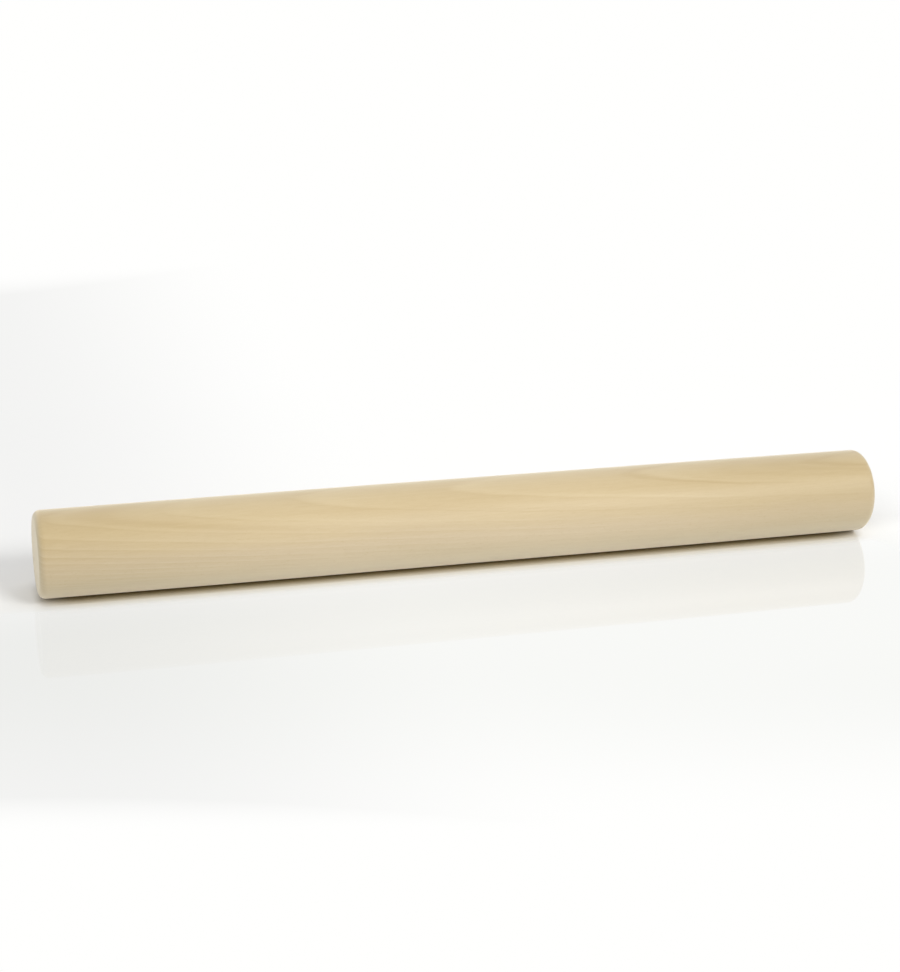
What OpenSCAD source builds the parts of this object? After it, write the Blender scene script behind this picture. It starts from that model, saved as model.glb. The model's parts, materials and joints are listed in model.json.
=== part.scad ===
// French rolling pin of the plain dowel pattern: one straight turned length of pale hardwood,
// with no handles, no axle and no bearings. The cook's palms roll the wood itself.
// The pin lies along X. The origin is at its centre, on the axis that it was turned about.

/* [Barrel] */
// Overall length, end face to end face
pin_length = 508; // [380:1:600]
// Diameter of the straight middle stretch
pin_diameter = 50.8; // [38:0.1:64]

/* [Ends] */
// Radius of the rounding between the barrel and each end face
edge_radius = 4.2; // [1:0.1:10]
// Length at each end over which sanding has thinned the barrel
relief_length = 150; // [40:1:170]
// How much smaller the radius is at each end than in the middle
end_relief = 0.3; // [0:0.05:1]

/* [Hidden] */

wood_colour = [0.86, 0.77, 0.62];
circle_steps = 128;

middle_radius = pin_diameter / 2;
end_radius = middle_radius - end_relief;
half_length = pin_length / 2;
// Distance from the centre at which each edge rounding starts
rounding_start = half_length - edge_radius;
// Distance from the centre at which each relieved stretch starts
relief_start = half_length - relief_length;

// Half of the long section, on the side of positive radius: x is the radius, y runs along the pin.
// The polygon holds the middle, the relieved stretches and the flat end faces.
module section_without_corners() {
    one_side = [
        [middle_radius, relief_start],
        [end_radius, rounding_start],
        [end_radius - edge_radius, rounding_start],
        [end_radius - edge_radius, half_length],
        [0, half_length],
    ];
    other_side = [for (i = [len(one_side) - 1 : -1 : 0]) [one_side[i].x, -one_side[i].y]];
    polygon(concat(one_side, other_side));
}

// The section with its corners filled by the round edges, as true arcs.
module section() {
    union() {
        section_without_corners();
        for (end = [-1, 1])
            translate([end_radius - edge_radius, end * rounding_start])
                circle(r = edge_radius, $fn = circle_steps);
    }
}

// The whole pin, a single turned piece.
module dowel() {
    color(wood_colour)
        rotate([0, 90, 0])
            rotate_extrude($fn = circle_steps)
                section();
}

dowel();
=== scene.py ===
# A plain dowel-style French rolling pin: one turned length of pale hardwood, sanded to a satin surface.
# The wood is a solid pattern. The tree's growth rings run through the whole pin, so the arches on top,
# the straight lines on the flanks and the arcs on the end faces all belong to the same rings.
import json
import math

import bmesh
import bpy
from mathutils import Matrix, Vector, noise


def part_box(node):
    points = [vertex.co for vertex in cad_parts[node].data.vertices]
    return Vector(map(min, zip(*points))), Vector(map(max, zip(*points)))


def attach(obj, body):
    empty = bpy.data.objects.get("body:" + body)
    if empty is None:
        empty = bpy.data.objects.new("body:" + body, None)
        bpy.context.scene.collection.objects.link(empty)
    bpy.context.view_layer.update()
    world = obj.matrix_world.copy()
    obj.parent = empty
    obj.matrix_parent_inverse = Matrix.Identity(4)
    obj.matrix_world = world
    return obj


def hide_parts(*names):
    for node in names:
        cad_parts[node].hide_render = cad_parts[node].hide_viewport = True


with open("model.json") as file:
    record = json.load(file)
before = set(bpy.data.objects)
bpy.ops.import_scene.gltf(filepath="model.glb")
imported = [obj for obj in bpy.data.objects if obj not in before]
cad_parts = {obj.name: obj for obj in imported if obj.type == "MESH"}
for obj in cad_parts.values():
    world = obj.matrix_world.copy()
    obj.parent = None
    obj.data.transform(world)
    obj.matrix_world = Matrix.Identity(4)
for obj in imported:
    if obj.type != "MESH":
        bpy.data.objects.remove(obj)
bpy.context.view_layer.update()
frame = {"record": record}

MM = 0.001

# The barrel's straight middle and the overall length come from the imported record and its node.
barrel_mount = next(mount for mount in frame["record"]["mounts"] if mount["name"] == "barrel")
BARREL_RADIUS = barrel_mount["dims"]["r_mm"] * MM
STRAIGHT_HALF = barrel_mount["dims"]["length_mm"] * MM / 2
HALF_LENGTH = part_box("dowel")[1].x

# The ends, as the part's source has them. The thinning sets in gently, by a power of the way to the end.
EDGE_RADIUS = 4.2 * MM
END_RELIEF = 0.3 * MM
RELIEF_POWER = 1.5
ROUNDING_START = HALF_LENGTH - EDGE_RADIUS
FACE_RADIUS = BARREL_RADIUS - END_RELIEF - EDGE_RADIUS

# How fine the visible mesh is, and how near to an end face a point counts as lying on it.
SEGMENTS_AROUND = 180
RING_SPACING = 4 * MM
ROUNDING_STEPS = 12
FACE_STEPS = 10
FACE_TOLERANCE = 0.01 * MM

# Hand sanding leaves the surface very slightly uneven, always below the true form: the greatest depth on the
# barrel and on the end faces, and the usual share of it.
SANDING_DEPTH = 0.05 * MM
FACE_DEPTH = 0.03 * MM
USUAL_DEPTH = 0.5
# The waves in it: how many a metre holds along the pin and across it, their weight, and the place where
# their noise starts.
SANDING_WAVES = (
    (22, 45, 0.6, (0, 0, 0)),
    (85, 120, 0.25, (7, 3, 5)),
)

# The unrolled barrel takes this share of the map's height. The end faces are two discs in the rest: their
# radius as a share of its height, and how far to the left and right of the map's middle they lie.
STRIP_HEIGHT = 0.8
DISC_SHARE = 0.48
DISC_OFFSET = 0.25


def barrel_radius(distance):
    """The radius at a distance from the middle of the pin, up to where the end rounding starts."""
    share = max(0.0, (distance - STRAIGHT_HALF) / (ROUNDING_START - STRAIGHT_HALF))
    return BARREL_RADIUS - END_RELIEF * share ** RELIEF_POWER


def half_profile():
    """Points (distance from the middle, radius) from the middle of the pin to the centre of an end face."""
    steps = round(ROUNDING_START / RING_SPACING)
    points = []
    for step in range(steps):
        distance = ROUNDING_START * step / steps
        points.append((distance, barrel_radius(distance)))
    for step in range(ROUNDING_STEPS + 1):
        angle = math.pi / 2 * step / ROUNDING_STEPS
        distance = ROUNDING_START + EDGE_RADIUS * math.sin(angle)
        points.append((distance, FACE_RADIUS + EDGE_RADIUS * math.cos(angle)))
    for step in range(1, FACE_STEPS):
        points.append((HALF_LENGTH, FACE_RADIUS * (1 - step / FACE_STEPS)))
    return points


def unevenness(x, radius, angle):
    """How far the sanded surface lies below the true form, from 0 to 1."""
    around = Vector((0, math.cos(angle), math.sin(angle))) * radius
    depth = USUAL_DEPTH
    for along_rate, across_rate, weight, (start_x, start_y, start_z) in SANDING_WAVES:
        place = Vector((x * along_rate + start_x, start_y, start_z)) + around * across_rate
        depth += weight * noise.noise(place)
    return min(1.0, max(0.0, depth))


def on_end_face(x):
    return abs(x) > HALF_LENGTH - FACE_TOLERANCE


def ring_of_vertices(skin, x, radius):
    ring = []
    for step in range(SEGMENTS_AROUND):
        angle = 2 * math.pi * step / SEGMENTS_AROUND
        depth = unevenness(x, radius, angle)
        along, outward = x, radius
        if on_end_face(x):
            along -= math.copysign(FACE_DEPTH * depth, x)
        else:
            outward -= SANDING_DEPTH * depth
        ring.append(skin.verts.new((along, outward * math.cos(angle), outward * math.sin(angle))))
    return ring


def strip_place(x, radius, step):
    """Where a point of the barrel or of an end rounding lies on the unrolled map."""
    beyond = BARREL_RADIUS - END_RELIEF - radius if abs(x) > ROUNDING_START else 0
    along = x + math.copysign(beyond, x)
    return 0.5 + along / (2 * (HALF_LENGTH + EDGE_RADIUS)), STRIP_HEIGHT * step / SEGMENTS_AROUND


def disc_place(x, radius, step):
    """Where a point of an end face lies on the same map, in one of two discs beside the strip."""
    angle = 2 * math.pi * step / SEGMENTS_AROUND
    reach = (1 - STRIP_HEIGHT) * DISC_SHARE * radius / FACE_RADIUS
    centre = 0.5 + math.copysign(DISC_OFFSET, x)
    return centre + reach * math.cos(angle), (1 + STRIP_HEIGHT) / 2 + reach * math.sin(angle)


def add_face(skin, unrolled, corners):
    """Adds a face whose corners are (vertex, x, radius, step), and lays it out on the map."""
    face = skin.faces.new([corner[0] for corner in corners])
    face.smooth = True
    lay_out = disc_place if all(on_end_face(corner[1]) for corner in corners) else strip_place
    for loop, corner in zip(face.loops, corners):
        loop[unrolled].uv = lay_out(*corner[1:])


def pin_mesh():
    """The whole pin as one closed skin: rings of vertices from end to end, and a fan at each centre."""
    half = half_profile()
    profile = [(-distance, radius) for distance, radius in reversed(half[1:])] + half
    skin = bmesh.new()
    unrolled = skin.loops.layers.uv.new("OFBake")
    rings = [ring_of_vertices(skin, x, radius) for x, radius in profile]
    for index in range(len(profile) - 1):
        near, far = rings[index], rings[index + 1]
        near_line, far_line = profile[index], profile[index + 1]
        for step in range(SEGMENTS_AROUND):
            after = (step + 1) % SEGMENTS_AROUND
            corners = (
                (near[step], *near_line, step),
                (near[after], *near_line, step + 1),
                (far[after], *far_line, step + 1),
                (far[step], *far_line, step),
            )
            add_face(skin, unrolled, corners)
    for ring, (x, radius) in ((rings[0], profile[0]), (rings[-1], profile[-1])):
        centre = skin.verts.new((x, 0, 0))
        for step in range(SEGMENTS_AROUND):
            after = (step + 1) % SEGMENTS_AROUND
            corners = [
                (ring[step], x, radius, step),
                (centre, x, 0, step),
                (ring[after], x, radius, step + 1),
            ]
            add_face(skin, unrolled, corners if x < 0 else corners[::-1])
    mesh = bpy.data.meshes.new("rolling_pin")
    skin.to_mesh(mesh)
    skin.free()
    return mesh


# A mix node has its own sockets for each kind of data. These are the factor and the ones for colours.
MIX_FACTOR = 0
MIX_COLOURS = (6, 7)
MIX_RESULT = 2


class Graph:
    """Builds the node tree of a material or of the world. An input takes a value or another node's output."""

    def __init__(self, owner):
        owner.use_nodes = True
        self.tree = owner.node_tree
        self.tree.nodes.clear()

    def node(self, kind, inputs=None, **settings):
        made = self.tree.nodes.new(kind)
        for name, value in settings.items():
            setattr(made, name, value)
        for key, value in (inputs or {}).items():
            self.feed(made.inputs[key], value)
        return made

    def feed(self, socket, value):
        if isinstance(value, bpy.types.NodeSocket):
            self.tree.links.new(value, socket)
        else:
            socket.default_value = value

    def split(self, place):
        return self.node("ShaderNodeSeparateXYZ", {0: place}).outputs

    def maths(self, operation, *values):
        made = self.node("ShaderNodeMath", operation=operation)
        for socket, value in zip(made.inputs, values):
            self.feed(socket, value)
        return made.outputs[0]

    def vectors(self, operation, first, second=None):
        """Vector maths. Scaling takes a number as its second value, and a length takes none."""
        made = self.node("ShaderNodeVectorMath", {0: first}, operation=operation)
        if second is not None:
            self.feed(made.inputs["Scale" if operation == "SCALE" else 1], second)
        return made.outputs["Value" if operation == "LENGTH" else "Vector"]

    def add(self, *values):
        total = values[0]
        for value in values[1:]:
            total = self.maths("ADD", total, value)
        return total

    def times(self, *values):
        product = values[0]
        for value in values[1:]:
            product = self.maths("MULTIPLY", product, value)
        return product

    def inverse(self, value):
        """1 minus the value."""
        return self.maths("SUBTRACT", 1.0, value)

    def weighted(self, parts, weights, base=0.0):
        """A base, plus each of the parts that the weights name times its weight."""
        total = base
        for name, weight in weights.items():
            total = self.add(total, self.times(parts[name], weight))
        return total

    def ease(self, value, start, end, low=0.0, high=1.0):
        """Goes smoothly from low at start to high at end, and stays there."""
        made = self.node("ShaderNodeMapRange", interpolation_type="SMOOTHSTEP")
        for socket, setting in zip(made.inputs, (value, start, end, low, high)):
            self.feed(socket, setting)
        return made.outputs[0]

    def noise(self, place, grain, detail=2.0, roughness=0.5):
        """Noise from about -1 to 1 whose grains measure about so many millimetres along each direction."""
        scaled = self.vectors("DIVIDE", place, grain)
        inputs = {"Vector": scaled, "Scale": 1.0, "Detail": detail, "Roughness": roughness}
        made = self.node("ShaderNodeTexNoise", inputs, noise_dimensions="3D")
        return self.maths("MULTIPLY_ADD", made.outputs[0], 2.0, -1.0)

    def tint(self, colour, factor, other):
        """The colour turned towards another one by a factor from 0 to 1."""
        made = self.node("ShaderNodeMix", {MIX_FACTOR: factor}, data_type="RGBA")
        for index, value in zip(MIX_COLOURS, (colour, other)):
            self.feed(made.inputs[index], value)
        return made.outputs[MIX_RESULT]

    def blend(self, colour, amount, gain):
        """The colour times a gain for each of red, green and blue, by an amount around 0 to 1."""
        change = self.vectors("SCALE", tuple(part - 1.0 for part in gain), amount)
        start = tuple(colour[:3]) if isinstance(colour, tuple) else colour
        return self.vectors("MULTIPLY", start, self.vectors("ADD", change, (1, 1, 1)))

    def mixed(self, share, shader, other):
        """One shader turned into another one by a share from 0 to 1."""
        return self.node("ShaderNodeMixShader", {0: share, 1: shader, 2: other}).outputs[0]


# From here on the wood's lengths are in millimetres, and places are given as along the pin, across it and
# outward. Outward is away from the tree's pith, turned this far up from the side that faces the cook.
OUTWARD_ANGLE = math.radians(78)
PITH_DISTANCE = 140.0
# The rings climb along the pin, so they cut its top in a row of arches, and the climb slackens to the right.
RING_CLIMB = 0.0465
RING_BEND = -2.6e-5
# They wander and ripple: the grain of each kind of noise and how far it moves them.
RING_WAVES = (
    ((90, 14, 14), 0.9),
    ((25, 5, 5), 0.22),
)
# Ring count by depth, as ring_depth gives it: a polynomial, constant term first.
RING_COUNT = (0.18, 0.211, -0.00125, 0.0000225)
# Deep in the pin the spacing is less even: how many rings it strays, the depths where that sets in, and the
# grain of the noise that moves it.
STRAY_RINGS = 0.3
STRAY_REACH = (-14.0, -26.0)
STRAY_GRAIN = (4, 4, 4)

# One season's growth: its shade from 0 for dark to 1 for pale, by the share of the ring's width. A dark line
# comes first, then pale new wood, which slowly darkens.
SEASON_SHADES = (
    (0.0, 0.05),
    (0.06, 0.55),
    (0.14, 0.95),
    (0.26, 0.8),
    (0.5, 0.5),
    (0.75, 0.4),
    (0.93, 0.3),
    (1.0, 0.05),
)
# How clearly a season shows: its own random part, patches along it by their grain and weight, and a level in
# mid-length with its change for each millimetre to the right. The last number is the least that is left.
OWN_VIGOUR = 0.4
VIGOUR_PATCHES = (
    ((75, 9, 9), 0.6),
    ((28, 3, 3), 0.4),
)
MIDDLE_VIGOUR = 0.42
VIGOUR_SLOPE = -0.002
LEAST_VIGOUR = 0.05
# The rings fade on the flank nearer the pith, over these distances outward from the pin's axis.
FAINT_REACH = (-8.0, 16.0)
FAINT_SHARE = 0.45

# Single marks that stand out, lighter or darker than the rest: depth, half width and shade, and the place
# along the pin where the mark is strongest and how far from there it has faded out.
MARKED_SEASONS = (
    (9.4, 0.6, 0.4, 250, 70),
    (8.6, 0.4, -1.2, 250, 110),
    (7.8, 0.8, -0.6, 250, 110),
    (6.5, 0.9, -0.5, 210, 120),
    (4.8, 0.4, 0.5, 120, 100),
    (4.2, 0.45, -1.2, 125, 90),
    (-0.4, 0.8, 0.75, 60, 150),
    (-4.6, 1.3, -0.9, 30, 110),
    (-10.0, 1.4, 0.65, -110, 200),
    (-12.2, 1.6, -1.1, -190, 140),
)
# The share of that distance over which a mark keeps its full strength.
FULL_MARK = 1 / 3

# Linear colours: the wood from the tree's golden outside inwards, painted shading, and the end grain.
GOLDEN_WOOD = (0.607, 0.474, 0.266, 1)
ROSY_WOOD = (0.597, 0.484, 0.316, 1)
# The third colour is painted shading: a greyer tone fitted to how light falls on the pin's lower flank.
LOWER_FLANK_SHADING = (0.537, 0.448, 0.286, 1)
END_WOOD = (0.550, 0.458, 0.285, 1)
# Distances outward from the pin's axis over which one colour turns into the next, and how far the clouds in
# the figure move them.
GOLDEN_REACH = (5.0, 22.0)
LOWER_FLANK_REACH = (10.0, -12.0)
ROSY_AGAIN = (-11.0, -19.0)
CLOUD_SHIFT = 6.0
# The wood is a little darker towards its ends, over these distances from a palest place.
PALEST_PLACE = -20.0
DARKER_ENDS_REACH = (60.0, 250.0)
DARKER_ENDS_GAIN = (0.88, 0.865, 0.81)
# How much a full unit of shade multiplies red, green and blue.
PALE_GAIN = (1.075, 1.105, 1.16)
DARK_GAIN = (0.90, 0.865, 0.79)

# The finer figure of the wood, as noise: its grain, its detail and, where it isn't the usual one, its
# roughness.
FIGURE_NOISE = {
    "streaks": ((70, 1.5, 1.5), 3.0, 0.6),
    "fibres": ((9, 0.2, 0.2), 3.0, 0.6),
    "flames": ((7, 1.0, 1.0), 2.0),
    "clouds": ((120, 20, 20), 2.0),
    "rays": ((2.4, 0.25, 1.2), 1.0),
    "long rays": ((1.5, 0.22, 7.0), 2.0),
    "pores": ((1.8, 0.1, 0.1), 1.0),
    "sanding": ((0.3, 30, 30), 2.0),
    "bruises": ((4, 2.5, 2.5), 3.0, 0.6),
}
# The levels between which some of that noise turns from nothing into a full mark.
FIGURE_LEVELS = {
    "rays": (0.2, 0.5),
    "pores": (0.25, 0.55),
    "bruises": (0.05, 0.4),
}
# How far a surface faces along the pin, from 0 on the barrel to 1 on an end face: where end grain sets in,
# and where the rounded edge begins and ends. Knocks have bruised that edge here and there.
END_GRAIN_FACING = (0.45, 0.97)
EDGE_FACING = (0.1, 0.4)
FACE_FACING = (0.75, 0.97)

# What each part of the figure adds to the shade of the side grain, first broadly and then finely, and what
# darkens it.
SIDE_SHADE = {"rings": 0.6, "streaks": 0.4, "clouds": 0.4}
FINE_SHADE = {"fibres": 0.75, "flames": 0.35}
SIDE_MARKS = {"rays": 0.4, "pores": 0.4}
# What darkens the end grain, on top of an even amount, and how much the bruises darken the edges.
END_SHADE = {"rings": -0.5, "long rays": -0.55, "pores": 1.3}
EVEN_END_SHADE = 0.35
BRUISE_SHADE = 0.4
# What makes the wood rougher or smoother than its usual roughness.
ROUGHNESS_PARTS = {"fibres": 0.06, "streaks": 0.04, "end grain": 0.12, "bruises": -0.08}
ROUGHNESS = 0.50
# What raises and lowers the surface, in shares of the bump's height, which is in metres.
HEIGHT_PARTS = {"fibres": 0.4, "streaks": 0.3, "pores": -0.6, "sanding": 0.12, "bruises": -1.2}
BUMP_HEIGHT = 0.015 * MM
# Loose fibre ends scatter light at a glancing angle, in a paler shade of the wood.
SHEEN = {
    "Sheen Weight": 1.0,
    "Sheen Roughness": 0.5,
    "Sheen Tint": (1.0, 0.93, 0.78, 1),
}


def ring_depth(g, place):
    """How far outward a place is along the tree's radius, 0 at the pin's outermost line in mid-length."""
    along, across, outward = g.split(place)
    from_pith = g.add(outward, PITH_DISTANCE)
    distance = g.maths("SQRT", g.add(g.times(from_pith, from_pith), g.times(across, across)))
    climb = g.times(along, g.maths("MULTIPLY_ADD", along, RING_BEND, RING_CLIMB))
    depth = g.add(distance, -PITH_DISTANCE - BARREL_RADIUS / MM, climb)
    for grain, reach in RING_WAVES:
        depth = g.add(depth, g.times(g.noise(place, grain), reach))
    return depth


def season_shade(g, share):
    """The shade of one season's growth, from -1 to 1, by its share of the ring's width."""
    ramp = g.node("ShaderNodeValToRGB", {0: share})
    ramp.color_ramp.interpolation = "B_SPLINE"
    elements = ramp.color_ramp.elements
    for position, _ in SEASON_SHADES[1:-1]:
        elements.new(position)
    for element, (position, shade) in zip(elements, SEASON_SHADES):
        element.position = position
        element.color = (shade, shade, shade, 1)
    return g.maths("MULTIPLY_ADD", ramp.outputs[0], 2.0, -1.0)


def season_vigour(g, count, place):
    """How clearly the seasons show, by their number and by the place."""
    along, _, outward = g.split(place)
    number = g.add(g.maths("FLOOR", count), 0.5)
    own = g.node("ShaderNodeTexWhiteNoise", {"W": number}, noise_dimensions="1D").outputs[0]
    vigour = g.add(g.times(own, OWN_VIGOUR), g.maths("MULTIPLY_ADD", along, VIGOUR_SLOPE, MIDDLE_VIGOUR))
    for grain, weight in VIGOUR_PATCHES:
        vigour = g.add(vigour, g.times(g.noise(place, grain), weight))
    return g.times(g.maths("MAXIMUM", vigour, LEAST_VIGOUR), g.ease(outward, *FAINT_REACH, FAINT_SHARE, 1.0))


def ring_tone(g, place):
    """The shade that the growth rings give, about -1 where it's dark and 1 along a pale line."""
    along = g.split(place)[0]
    depth = ring_depth(g, place)
    count = RING_COUNT[-1]
    for term in reversed(RING_COUNT[:-1]):
        count = g.maths("MULTIPLY_ADD", count, depth, term)
    stray = g.noise(g.node("ShaderNodeCombineXYZ", {0: depth}).outputs[0], STRAY_GRAIN, 1.0)
    count = g.add(count, g.times(stray, g.ease(depth, *STRAY_REACH, 0.0, STRAY_RINGS)))
    tone = g.times(season_shade(g, g.maths("FRACT", count)), season_vigour(g, count, place))
    for line_depth, half_width, shade, middle, reach in MARKED_SEASONS:
        away = g.maths("DIVIDE", g.maths("ABSOLUTE", g.add(depth, -line_depth)), half_width)
        apart = g.maths("ABSOLUTE", g.add(along, -middle))
        strength = g.ease(apart, reach * FULL_MARK, reach, 1.0, 0.0)
        tone = g.add(tone, g.times(g.ease(away, 0.0, 1.0, shade, 0.0), strength))
    return tone


def figure(g, place, facing):
    """The parts of the wood's figure by name, each a number that varies from place to place."""
    parts = {name: g.noise(place, *setting) for name, setting in FIGURE_NOISE.items()}
    for name, levels in FIGURE_LEVELS.items():
        parts[name] = g.ease(parts[name], *levels)
    edge = g.times(g.ease(facing, *EDGE_FACING), g.ease(facing, *FACE_FACING, 1.0, 0.0))
    parts["bruises"] = g.times(edge, parts["bruises"])
    parts["end grain"] = g.ease(facing, *END_GRAIN_FACING)
    parts["rings"] = ring_tone(g, place)
    return parts


def side_grain(g, place, parts):
    """Side-grain colour: the tree's golden outside and inner wood, painted flank shading, the figure's shade.
    """
    along, _, outward = g.split(place)
    outward = g.add(outward, g.times(parts["clouds"], CLOUD_SHIFT))
    colour = g.tint(ROSY_WOOD, g.ease(outward, *GOLDEN_REACH), GOLDEN_WOOD)
    # Painted shading: along the pin's lower flank the wood turns to a greyer tone, fitted to how it is lit.
    lower_flank = g.times(g.ease(outward, *LOWER_FLANK_REACH), g.ease(outward, *ROSY_AGAIN, 1.0, 0.0))
    colour = g.tint(colour, lower_flank, LOWER_FLANK_SHADING)
    aside = g.maths("ABSOLUTE", g.add(along, -PALEST_PLACE))
    colour = g.blend(colour, g.ease(aside, *DARKER_ENDS_REACH), DARKER_ENDS_GAIN)
    shade = g.weighted(parts, SIDE_SHADE)
    colour = g.blend(colour, g.maths("MAXIMUM", shade, 0.0), PALE_GAIN)
    colour = g.blend(colour, g.maths("MAXIMUM", g.times(shade, -1.0), 0.0), DARK_GAIN)
    colour = g.blend(colour, g.weighted(parts, FINE_SHADE), PALE_GAIN)
    for name, weight in SIDE_MARKS.items():
        colour = g.blend(colour, g.times(parts[name], weight), DARK_GAIN)
    return colour


def hardwood():
    """Pale, close-grained hardwood, fine-sanded and left bare."""
    material = bpy.data.materials.new("pale_hardwood_satin")
    g = Graph(material)
    source = g.node("ShaderNodeTexCoord")
    turned = g.node("ShaderNodeMapping", {"Vector": source.outputs["Object"]}, vector_type="POINT")
    turned.inputs["Rotation"].default_value = (OUTWARD_ANGLE - math.pi / 2, 0, 0)
    turned.inputs["Scale"].default_value = (1 / MM, 1 / MM, 1 / MM)
    place = turned.outputs[0]
    parts = figure(g, place, g.maths("ABSOLUTE", g.split(source.outputs["Normal"])[0]))

    end_colour = g.blend(END_WOOD, g.weighted(parts, END_SHADE, EVEN_END_SHADE), DARK_GAIN)
    colour = g.tint(side_grain(g, place, parts), parts["end grain"], end_colour)
    height = g.weighted(parts, HEIGHT_PARTS)
    bump = g.node("ShaderNodeBump", {"Strength": 1.0, "Distance": BUMP_HEIGHT, "Height": height})
    inputs = {
        "Base Color": g.blend(colour, g.times(parts["bruises"], BRUISE_SHADE), DARK_GAIN),
        "Roughness": g.weighted(parts, ROUGHNESS_PARTS, ROUGHNESS),
        "Normal": bump.outputs[0],
        **SHEEN,
    }
    surface = g.node("ShaderNodeBsdfPrincipled", inputs)
    g.node("ShaderNodeOutputMaterial", {"Surface": surface.outputs[0]})
    return material


def rolling_pin():
    pin = bpy.data.objects.new("rolling_pin", pin_mesh())
    bpy.context.scene.collection.objects.link(pin)
    pin.data.materials.append(hardwood())
    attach(pin, "root")
    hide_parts("dowel")


# The studio: a glossy white table under a white surround. Its lengths are in metres again. Forward is towards
# the cook, and distances from mid-length count for less along the pin, by this stretch.
FLOOR_RADIUS = 6.0
FLOOR_SEGMENTS = 96
FLOOR_COLOUR = (0.94, 0.94, 0.935, 1)
FLOOR_WHITE = (1.0, 1.0, 0.99, 1)
DISTANCE_STRETCH = (0.35, 1.0, 1.0)
# Part of the table's whiteness, where it is seen or mirrored, is its own, and the rest is lit and holds the
# shadow. That share grows in front of the pin, and far from it the table is all its own white.
NEAR_SHARE = 0.03
FRONT_SHARE = 1.0
FRONT_REACH = (13 * MM, 23 * MM)
# To the right of the pin the share grows more slowly. This is where that sets in.
FRONT_REACH_BEYOND = (-15 * MM, 60 * MM)
BEYOND_REACH = (0.253, 0.275)
FADE_REACH = (0.06, 0.30)
# Painted shade greys the table towards its left and towards the cook: the shades and the distances they span.
LEFT_PAINTED_SHADE = 0.90
LEFT_REACH = (-0.262, -0.02)
FRONT_PAINTED_SHADE = (0.932, 0.938, 0.925)
FRONT_PAINTED_SHADE_REACH = (-0.02, 0.06)
# Far away it is plain white, and in front too, on a slant: a place farther right counts as less far forward.
FAR_REACH = (0.30, 0.60)
OPEN_REACH = (0.140, 0.300)
OPEN_SLANT = -0.203
# A painted contact shadow, tinted by bounced light, darkens the table by the pin; painted bounce light warms
# it a little farther out.
CONTACT_SHADOW_REACH = 4.8 * MM
CONTACT_SHADOW_COLOUR = (0.28, 0.20, 0.05, 1)
WARM_GAIN = (0.90, 0.875, 0.80)
WARM_REACH = (12 * MM, 28 * MM)
# Over these distances from mid-length the pin's ends lift off the table and the painted contact shadow
# softens.
END_REACH = (0.225, 0.262)
END_CONTACT_SHADOW = 0.3
# The soft shade that the whole pin gives the table beside and behind it: its strength at the left and at the
# right end, and where it fades out in front.
SHADE_REACH = 60 * MM
SHADE_STRENGTH = (0.04, 0.95)
SHADE_SIDE = (-15 * MM, 10 * MM)
OCCLUSION_SAMPLES = 16
# The lacquer mirrors a little more towards the right, where it is seen at a flatter angle. Far from the pin
# it mirrors nothing, so that the lamps don't show in it.
LACQUER_ROUGHNESS = 0.04
LACQUER_IOR = 1.6
MIRROR_REACH = (-0.27, 0.25)
MIRROR_GAIN = (0.5, 1.4)
MIRROR_END = (0.15, 0.25)


def seen_ray(g):
    """1 for rays that show a thing to the camera, directly, in a reflection or through glass."""
    ray = g.node("ShaderNodeLightPath").outputs
    mirrored = g.maths("MAXIMUM", ray["Is Glossy Ray"], ray["Is Transmission Ray"])
    return g.maths("MAXIMUM", ray["Is Camera Ray"], mirrored)


def closeness(g, reach):
    """From 0 where the table is open to the light to 1 where the pin stands over it within a reach."""
    occlusion = g.node("ShaderNodeAmbientOcclusion", {"Distance": reach}, samples=OCCLUSION_SAMPLES)
    return g.inverse(occlusion.outputs["AO"])


def table_colour(g, sideways, forward, distance, beside, contact):
    """The table's own colour: painted shade, a painted warm fringe in front of the pin and the painted
    contact shadow.
    """
    slanted = g.maths("MULTIPLY_ADD", sideways, OPEN_SLANT, forward)
    plain = g.maths("MAXIMUM", g.ease(distance, *FAR_REACH), g.ease(slanted, *OPEN_REACH))
    # Painted shade: the table greys towards its left and, near the pin, towards the cook.
    tone = g.maths("MAXIMUM", g.ease(sideways, *LEFT_REACH, LEFT_PAINTED_SHADE, 1.0), plain)
    near = g.times(g.ease(forward, *FRONT_PAINTED_SHADE_REACH), g.inverse(plain))
    warmth = g.times(g.ease(forward, *WARM_REACH, 1.0, 0.0), g.ease(forward, 0.0, WARM_REACH[0]), beside)
    white = g.blend(g.blend(FLOOR_WHITE, near, FRONT_PAINTED_SHADE), warmth, WARM_GAIN)
    return g.vectors("SCALE", g.tint(white, contact, CONTACT_SHADOW_COLOUR), tone)


def own_share(g, sideways, forward, distance):
    """How much of the table's whiteness is its own, where it is seen."""
    beyond = g.ease(sideways, *BEYOND_REACH)
    start, end = (g.ease(beyond, 0.0, 1.0, *pair) for pair in zip(FRONT_REACH, FRONT_REACH_BEYOND))
    front = g.ease(forward, start, end, NEAR_SHARE, FRONT_SHARE)
    return g.ease(distance, *FADE_REACH, front, 1.0)


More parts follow.
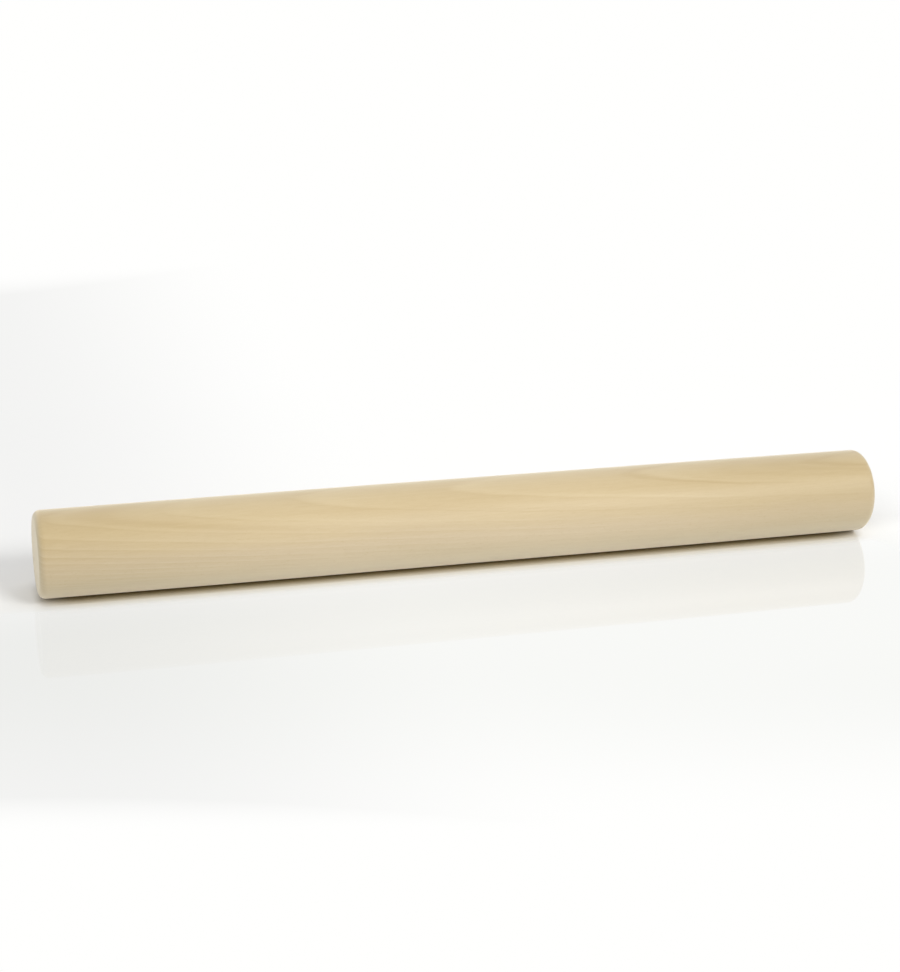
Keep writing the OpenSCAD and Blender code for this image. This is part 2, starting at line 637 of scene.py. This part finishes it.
def glossy_white():
    """White lacquer, which mirrors the pin faintly and keeps its shadow."""
    material = bpy.data.materials.new("glossy_white_table")
    g = Graph(material)
    place = g.node("ShaderNodeTexCoord").outputs["Object"]
    sideways, away, _ = g.split(place)
    forward = g.times(away, -1.0)
    distance = g.vectors("LENGTH", g.vectors("MULTIPLY", place, DISTANCE_STRETCH))

    beside = g.ease(g.maths("ABSOLUTE", sideways), *END_REACH, 1.0, 0.0)
    # Painted contact shadow: the table darkens where the pin stands close over it.
    contact = g.times(closeness(g, CONTACT_SHADOW_REACH), g.ease(beside, 0.0, 1.0, END_CONTACT_SHADOW, 1.0))
    colour = table_colour(g, sideways, forward, distance, beside, contact)
    strength = g.ease(sideways, -HALF_LENGTH, HALF_LENGTH, *SHADE_STRENGTH)
    strength = g.times(strength, g.ease(forward, *SHADE_SIDE, 1.0, 0.0))
    shade = g.inverse(g.times(closeness(g, SHADE_REACH), strength))
    shaded = g.node("ShaderNodeBsdfDiffuse", {"Color": g.vectors("SCALE", colour, shade)}).outputs[0]
    own_colour = g.vectors("SCALE", colour, g.inverse(contact))
    own = g.node("ShaderNodeEmission", {"Color": own_colour}).outputs[0]
    shown = g.mixed(own_share(g, sideways, forward, distance), shaded, own)

    lacquer = {"Color": FLOOR_WHITE, "Roughness": LACQUER_ROUGHNESS}
    mirror = g.node("ShaderNodeBsdfGlossy", lacquer).outputs[0]
    gloss = g.node("ShaderNodeFresnel", {"IOR": LACQUER_IOR}).outputs[0]
    gloss = g.times(gloss, g.ease(sideways, *MIRROR_REACH, *MIRROR_GAIN))
    gloss = g.times(gloss, g.ease(distance, *MIRROR_END, 1.0, 0.0))
    lit = g.node("ShaderNodeBsdfDiffuse", {"Color": FLOOR_COLOUR}).outputs[0]
    surface = g.mixed(seen_ray(g), lit, g.mixed(gloss, shown, mirror))
    g.node("ShaderNodeOutputMaterial", {"Surface": surface})
    return material


def studio_floor():
    disc = bmesh.new()
    bmesh.ops.create_circle(disc, cap_ends=True, segments=FLOOR_SEGMENTS, radius=FLOOR_RADIUS)
    mesh = bpy.data.meshes.new("table")
    disc.to_mesh(mesh)
    disc.free()
    table = bpy.data.objects.new("table", mesh)
    table.location.z = -BARREL_RADIUS
    mesh.materials.append(glossy_white())
    bpy.context.scene.collection.objects.link(table)


# The strength of the light that the surroundings give.
AMBIENT = 0.334
# The softboxes, which all aim at the pin: name, place, width and height, watts, and whether it shows in
# reflections.
SOFTBOXES = (
    ("key", (1.62, -2.35, 2.35), (1.3, 1.3), 75, True),
    ("fill", (-2.2, -2.0, 1.6), (1.8, 1.8), 23, True),
    ("back", (0.0, 1.4, 2.5), (3.0, 1.2), 29, False),
)


def studio_world():
    """Seen directly or in a reflection the surroundings are white. The light that they give is softer."""
    world = bpy.data.worlds.new("studio")
    bpy.context.scene.world = world
    g = Graph(world)
    strength = g.maths("MULTIPLY_ADD", seen_ray(g), 1.0 - AMBIENT, AMBIENT)
    background = g.node("ShaderNodeBackground", {"Color": (1, 1, 1, 1), "Strength": strength})
    g.node("ShaderNodeOutputWorld", {"Surface": background.outputs[0]})


def softbox(name, place, size, power, mirrored):
    lamp = bpy.data.lights.new(name, "AREA")
    lamp.shape = "RECTANGLE"
    lamp.size, lamp.size_y = size
    lamp.energy = power
    holder = bpy.data.objects.new(name, lamp)
    holder.visible_glossy = mirrored
    holder.location = place
    holder.rotation_euler = (-Vector(place)).to_track_quat("-Z", "Y").to_euler()
    bpy.context.scene.collection.objects.link(holder)


# The camera, fitted to the pin's outline, its left rim and its reflection in the table.
CAMERA_PLACE = (-0.33907, -1.07636, 0.51131)
CAMERA_YAW = math.radians(16.857)
CAMERA_PITCH = math.radians(23.458)
CAMERA_ROLL = math.radians(2.609)
FOCAL_LENGTH = 77.31
SENSOR_WIDTH = 36


def camera():
    lens = bpy.data.cameras.new("camera")
    lens.sensor_width = SENSOR_WIDTH
    lens.lens = FOCAL_LENGTH
    holder = bpy.data.objects.new("camera", lens)
    turn = Matrix.Rotation(-CAMERA_YAW, 4, "Z") @ Matrix.Rotation(math.pi / 2 - CAMERA_PITCH, 4, "X")
    holder.matrix_world = Matrix.Translation(CAMERA_PLACE) @ turn @ Matrix.Rotation(CAMERA_ROLL, 4, "Z")
    bpy.context.scene.collection.objects.link(holder)
    bpy.context.scene.camera = holder


bpy.context.scene.view_settings.view_transform = "Standard"
camera()
rolling_pin()
studio_floor()
studio_world()
for box in SOFTBOXES:
    softbox(*box)
